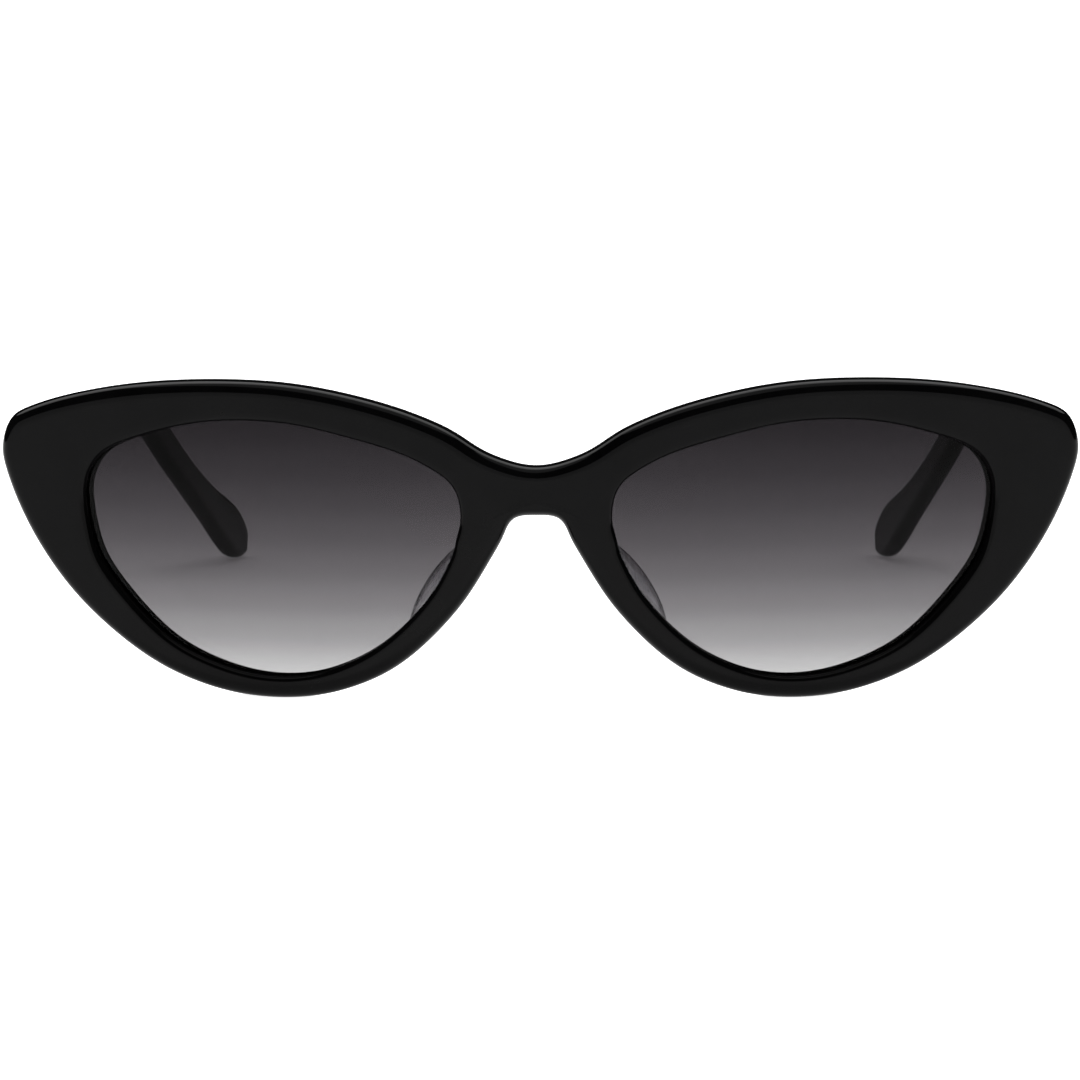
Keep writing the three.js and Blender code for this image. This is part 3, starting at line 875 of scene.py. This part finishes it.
def hinge_half(leaf_outline, first, web_outline):
    shell = bevelled_prism(leaf_outline, -LEAF_HALF_HEIGHT, LEAF_HALF_HEIGHT, LEAF_BEVEL)
    for i in range(first, KNUCKLES, 2):
        z0 = -knuckle_top + i * KNUCKLE_PITCH
        z1 = z0 + KNUCKLE_PITCH - KNUCKLE_GAP
        shell.add(barrel(z0, z1, i == KNUCKLES - 1))
        shell.add(bevelled_prism(web_outline, z0, z1, KNUCKLE_BEVEL / 2))
    return shell


def front_hinge_shell():
    back = FRONT_LEAF_BACK
    leaf = box_outline(FRONT_LEAF_INNER, FRONT_LEAF_OUTER, back - LEAF_THICKNESS, back)
    half = FRONT_WEB_HALF_WIDTH
    hole_edge = -PIN_HOLE_RADIUS - WEB_HOLE_CLEARANCE
    web = box_outline(-half, half, back - LEAF_THICKNESS / 2, hole_edge)
    return hinge_half(leaf, 0, web)


def temple_hinge_shell():
    leaf = box_outline(
        temple_leaf_inner, temple_leaf_inner + LEAF_THICKNESS, TEMPLE_LEAF_START, TEMPLE_LEAF_END
    )
    reach = temple_leaf_inner + LEAF_THICKNESS / 2
    web = [
        (WEB_NEAR, WEB_INNER),
        (BARREL_RADIUS, TEMPLE_LEAF_START),
        (reach, TEMPLE_LEAF_START + WEB_STEP),
        (reach, WEB_FAR),
        (WEB_INNER, BARREL_RADIUS - WEB_STEP),
        (WEB_INNER, WEB_NEAR),
    ]
    return hinge_half(leaf, 1, web)


SCREW_RADIUS = 0.6 * MM
SCREW_HEAD_RADIUS = 1 * MM
SCREW_HEAD_HEIGHT = 0.6 * MM
SCREW_SLOT_WIDTH = 0.35 * MM
SCREW_SLOT_DEPTH = 0.3 * MM
SCREW_THREAD_PITCH = 0.3 * MM
SCREW_THREAD_DEPTH = 0.06 * MM
SCREW_THREADS = 6
SCREW_FIRST_THREAD = 0.12 * MM
SCREW_END_PROUD = 0.25 * MM
SCREW_END_CHAMFER = 0.15 * MM
SCREW_SEAT_GAP = 0.02 * MM
# The head's dome, from its rim up: share of the head's radius, and how far below the top.
SCREW_DOME = [(1, 0.25 * MM), (0.93, 0.12 * MM), (0.75, 0.04 * MM), (0.4, 0)]

screw_seat = knuckle_top - COUNTERBORE_DEPTH + SCREW_SEAT_GAP
screw_top = screw_seat + SCREW_HEAD_HEIGHT


def screw_shell():
    bottom = -knuckle_top - SCREW_END_PROUD
    profile = [(0, bottom), (SCREW_RADIUS - SCREW_END_CHAMFER, bottom)]
    for i in range(SCREW_THREADS):
        z = bottom + SCREW_FIRST_THREAD + i * SCREW_THREAD_PITCH
        profile.append((SCREW_RADIUS - SCREW_THREAD_DEPTH, z))
        profile.append((SCREW_RADIUS, z + SCREW_THREAD_PITCH / 2))
    profile += [(SCREW_RADIUS, screw_seat), (SCREW_HEAD_RADIUS, screw_seat)]
    profile += [(SCREW_HEAD_RADIUS * share, screw_top - below) for share, below in SCREW_DOME]
    profile.append((0, screw_top))
    return revolve(profile, BARREL_SEGMENTS, closed=False)


# ---- end blocks ----

BLOCK_HALF_HEIGHT = 5 * MM
BLOCK_BEVEL = 0.35 * MM
POST_INNER = 1.75 * MM
STEP_INNER = -1.9 * MM
STEP_Y = -2.85 * MM
BLOCK_BOND = 0.03 * MM
BLOCK_REACH = 9 * MM
DRUM_HALF_HEIGHT = 20 * MM
DRUM_SEGMENTS = 720
block_outer = TEMPLE_INNER_FACE + TEMPLE_THICKNESS


def block_shell():
    outline = [
        (STEP_INNER, -BLOCK_REACH),
        (block_outer, -BLOCK_REACH),
        (block_outer, -MITRE_HALF_GAP),
        (POST_INNER, -MITRE_HALF_GAP),
        (POST_INNER, STEP_Y),
        (STEP_INNER, STEP_Y),
    ]
    return bevelled_prism(outline, -BLOCK_HALF_HEIGHT, BLOCK_HALF_HEIGHT, BLOCK_BEVEL)


def behind_front_shell():
    """The space behind the bent sheet, as a drum about the bend's axis."""
    radius = BEND_RADIUS - SHEET - BLOCK_BOND
    half = DRUM_HALF_HEIGHT
    profile = [(0, -half), (radius, -half), (radius, half), (0, half)]
    return revolve(profile, DRUM_SEGMENTS, closed=False)


def pocket_shell(x0, x1, y0, y1):
    half = LEAF_HALF_HEIGHT + LEAF_CLEARANCE
    return bevelled_prism(box_outline(x0, x1, y0, y1), -half, half, LEAF_BEVEL / 2)


def leaf_pocket_in_block():
    return pocket_shell(
        FRONT_LEAF_INNER - LEAF_CLEARANCE,
        FRONT_LEAF_OUTER + LEAF_CLEARANCE,
        FRONT_LEAF_BACK - LEAF_THICKNESS - LEAF_CLEARANCE,
        0,
    )


def leaf_pocket_in_temple():
    return pocket_shell(
        0,
        temple_leaf_inner + LEAF_THICKNESS + LEAF_CLEARANCE,
        -1 * MM,
        TEMPLE_LEAF_END + LEAF_CLEARANCE,
    )


def screw_slot():
    half = SCREW_SLOT_WIDTH / 2
    reach = 2 * SCREW_HEAD_RADIUS
    outline = box_outline(-reach, reach, -half, half)
    return bevelled_prism(outline, screw_top - SCREW_SLOT_DEPTH, screw_top + MM, 0.02 * MM)


# ---- the pieces of each side ----

drum_place = Matrix.Translation((0, front_y + BEND_RADIUS, pivot.z))
hinge = hinge_place()

for word, side in SIDES.items():
    arm = f"{word}_arm"

    lens = build(f"{word}_gradient_lens", lens_shell(), LENS, side)
    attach(lens, "front")
    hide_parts(f"{word}_lens")

    pad = build(f"{word}_pad", pad_shell(), CLEAR_PAD, side, pad_place)
    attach(pad, "front")
    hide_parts(f"{word}_nose_pad")

    block = build(f"{word}_wing_block", block_shell(), ACETATE, side, hinge)
    cut(block, behind_front_shell(), side, drum_place, "INTERSECT")
    cut(block, leaf_pocket_in_block(), side, hinge)
    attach(block, "front")
    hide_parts(f"{word}_end_block")

    front_leaf = build(f"{word}_hinge_on_front", front_hinge_shell(), HINGE_METAL, side, hinge)
    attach(front_leaf, "front")
    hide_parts(f"{word}_front_hinge")

    screw = build(f"{word}_pivot_screw", screw_shell(), SCREW_METAL, side, hinge)
    cut(screw, screw_slot(), side, hinge)
    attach(screw, "front")
    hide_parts(f"{word}_hinge_screw")

    temple = build(f"{word}_temple_arm", temple_shell(), ACETATE, side, hinge)
    cut(temple, leaf_pocket_in_temple(), side, hinge)
    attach(temple, arm)
    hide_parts(f"{word}_temple")

    temple_leaf = build(f"{word}_hinge_on_temple", temple_hinge_shell(), HINGE_METAL, side, hinge)
    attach(temple_leaf, arm)
    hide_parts(f"{word}_temple_hinge")

    wire = frame["nodes"][f"{word}_core_wire"]
    wire.data.materials.clear()
    wire.data.materials.append(WIRE_METAL)

# ---- studio ----

FLOOR_HALF_WIDTH = 5.0
FLOOR_REACH = 4.0
FLOOR_FLAT = 0.8
FLOOR_RISE_FAR = 0.14
FLOOR_RISE_NEAR = 1.2
FLOOR_ROWS = 60


def floor_shell():
    """A table top whose far and near ends curve up a little."""
    shell = Shell()
    rows = []
    for i in range(FLOOR_ROWS + 1):
        y = FLOOR_REACH * (2 * i / FLOOR_ROWS - 1)
        climb = max(abs(y) - FLOOR_FLAT, 0) / (FLOOR_REACH - FLOOR_FLAT)
        z = (FLOOR_RISE_FAR if y > 0 else FLOOR_RISE_NEAR) * climb**2
        rows.append(shell.ring([Vector((-FLOOR_HALF_WIDTH, y, z)), Vector((FLOOR_HALF_WIDTH, y, z))]))
    for near, far in zip(rows, rows[1:]):
        shell.faces.append((near[0], near[1], far[1], far[0]))
    return shell


build("table_top", floor_shell(), floor_material())

SUN_POWER = 1.0
SUN_SPREAD = math.radians(60)
SUN_TILT = math.radians(-4)
WORLD_GREY = 0.02

sun_data = bpy.data.lights.new("soft_daylight", "SUN")
sun_data.energy = SUN_POWER
sun_data.angle = SUN_SPREAD
sun = bpy.data.objects.new("soft_daylight", sun_data)
sun.rotation_euler = (SUN_TILT, 0, 0)
bpy.context.scene.collection.objects.link(sun)

# A long softbox above and a little behind, which draws the thin line along the top edge.
SOFTBOX_LENGTH = 2.8
SOFTBOX_DEPTH = 0.55
SOFTBOX_PLACE = Vector((0, 0.34, 1.02))
SOFTBOX_POWER = 22

softbox_data = bpy.data.lights.new("long_softbox", "AREA")
softbox_data.shape = "RECTANGLE"
softbox_data.size = SOFTBOX_LENGTH
softbox_data.size_y = SOFTBOX_DEPTH
softbox_data.energy = SOFTBOX_POWER
softbox = bpy.data.objects.new("long_softbox", softbox_data)
softbox.location = SOFTBOX_PLACE
softbox.rotation_euler = (-math.atan2(SOFTBOX_PLACE.y - front_y, SOFTBOX_PLACE.z), 0, 0)
bpy.context.scene.collection.objects.link(softbox)

world = bpy.data.worlds.new("studio")
world.use_nodes = True
world.node_tree.nodes["Background"].inputs["Color"].default_value = (*[WORLD_GREY] * 3, 1)
bpy.context.scene.world = world

# ---- camera ----

CAMERA_DISTANCE = 0.5
CAMERA_PITCH = math.radians(7.6)
CAMERA_YAW = math.radians(1.6)
CAMERA_ROLL = math.radians(-0.3)
CAMERA_AIM_X = 0.5 * MM
FOCAL_LENGTH = 128.1

aim = Vector((CAMERA_AIM_X, front_y, datum_z))
towards_camera = Vector(
    (
        math.sin(CAMERA_YAW) * math.cos(CAMERA_PITCH),
        -math.cos(CAMERA_YAW) * math.cos(CAMERA_PITCH),
        math.sin(CAMERA_PITCH),
    )
)
camera_data = bpy.data.cameras.new("camera")
camera_data.lens = FOCAL_LENGTH
camera_data.sensor_width = 36
camera_data.clip_start = 0.01
camera = bpy.data.objects.new("camera", camera_data)
camera.matrix_world = (
    Matrix.Translation(aim + towards_camera * CAMERA_DISTANCE)
    @ towards_camera.to_track_quat("Z", "Y").to_matrix().to_4x4()
    @ Matrix.Rotation(CAMERA_ROLL, 4, "Z")
)
bpy.context.scene.collection.objects.link(camera)
bpy.context.scene.camera = camera
bpy.context.scene.view_settings.view_transform = "Standard"
